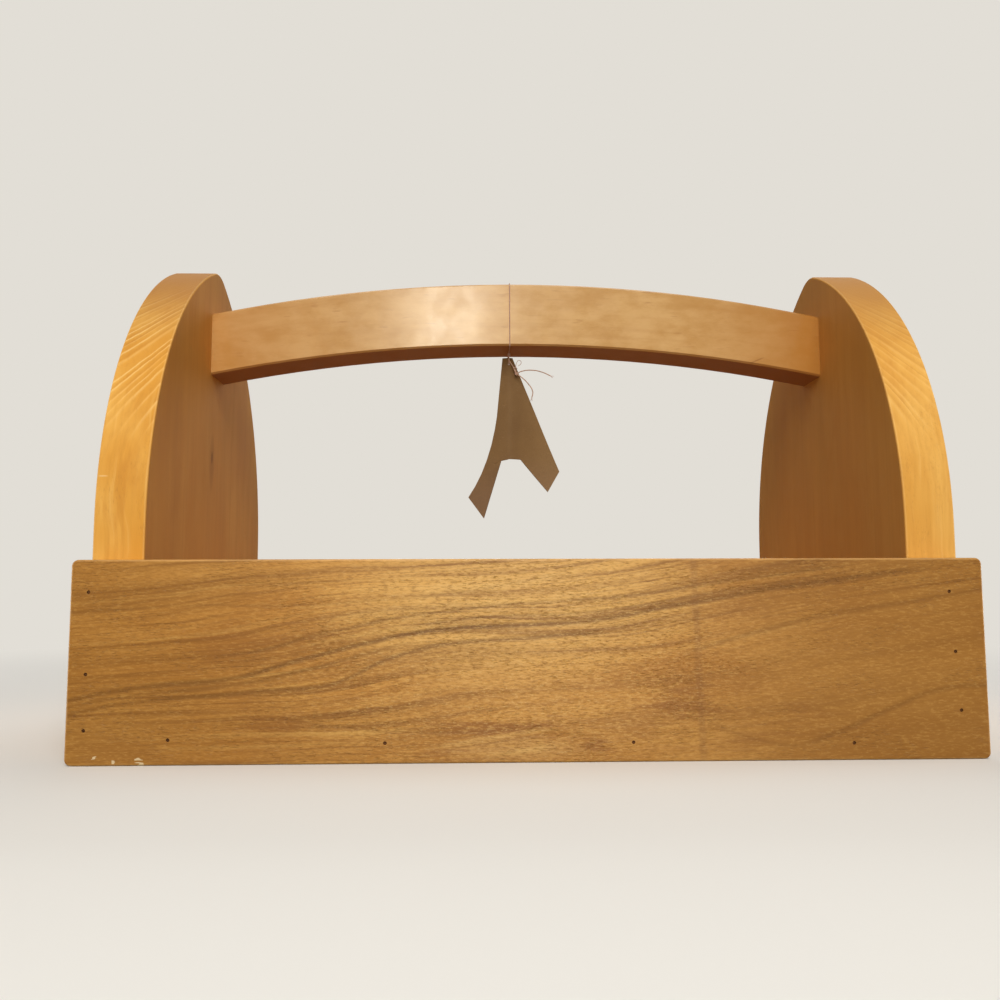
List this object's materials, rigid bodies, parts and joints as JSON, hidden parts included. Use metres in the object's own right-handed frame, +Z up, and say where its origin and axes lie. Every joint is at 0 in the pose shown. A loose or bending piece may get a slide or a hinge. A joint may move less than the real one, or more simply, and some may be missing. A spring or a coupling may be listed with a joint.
{
  "type": "wooden tool tote",
  "caption": "Wooden tool tote with arched ends, a bowed carrying handle, an open tray, a shallow drawer under the tray and a blank hang tag.",
  "frame": {"origin": "middle of the base, on the surface that the tote stands on", "axes": "+X along the front board to the viewer's right, -Y the front, +Z up"},
  "size_m": [0.406, 0.274, 0.2644],
  "materials": {
    "front_wood": "clear coated, honey amber",
    "panel_wood": "clear coated, golden brown",
    "handle_wood": "clear coated, pale peach",
    "tray_wood": "clear coated thin board",
    "drawer_wood": "smooth sanded",
    "nail_steel": "dull steel",
    "screw_steel": "satin steel",
    "thread": "twisted cotton thread",
    "card": "matt uncoated brown card"
  },
  "bodies": {
    "tote": {"end_panel_left": "panel_wood", "end_panel_right": "panel_wood", "front_board": "front_wood", "back_rail": "front_wood", "bottom_board": "panel_wood", "tray_floor": "tray_wood", "handle": "handle_wood", "front_board_nails": "nail_steel", "back_rail_nails": "nail_steel", "bottom_board_nails": "nail_steel", "handle_screws": "screw_steel", "thread_loop": "thread"},
    "drawer": {"drawer_front": "front_wood", "drawer_box_front": "drawer_wood", "drawer_box_back": "drawer_wood", "drawer_side_left": "drawer_wood", "drawer_side_right": "drawer_wood", "drawer_bottom": "tray_wood", "drawer_corner_nails": "nail_steel", "drawer_bottom_nails": "nail_steel", "drawer_front_screws": "screw_steel"},
    "hitch": {"tag_hitch": "thread"},
    "tag": {"tag_tie": "thread", "tag_card": "card"}
  },
  "joints": [
    {"name": "drawer_slide", "type": "slide", "parent": "tote", "child": "drawer", "axis": [0, 1, 0], "range_m": [0, 0.15]},
    {"name": "tag_twist", "type": "hinge", "parent": "tote", "child": "hitch", "pos_m": [-0.005, 0, 0.21639], "axis": [0, 0, 1], "range_deg": [-90, 90]},
    {"name": "tag_swing", "type": "hinge", "parent": "hitch", "child": "tag", "pos_m": [-0.005, 0, 0.21639], "axis": [1, 0, 0], "range_deg": [-60, 60]}
  ]
}
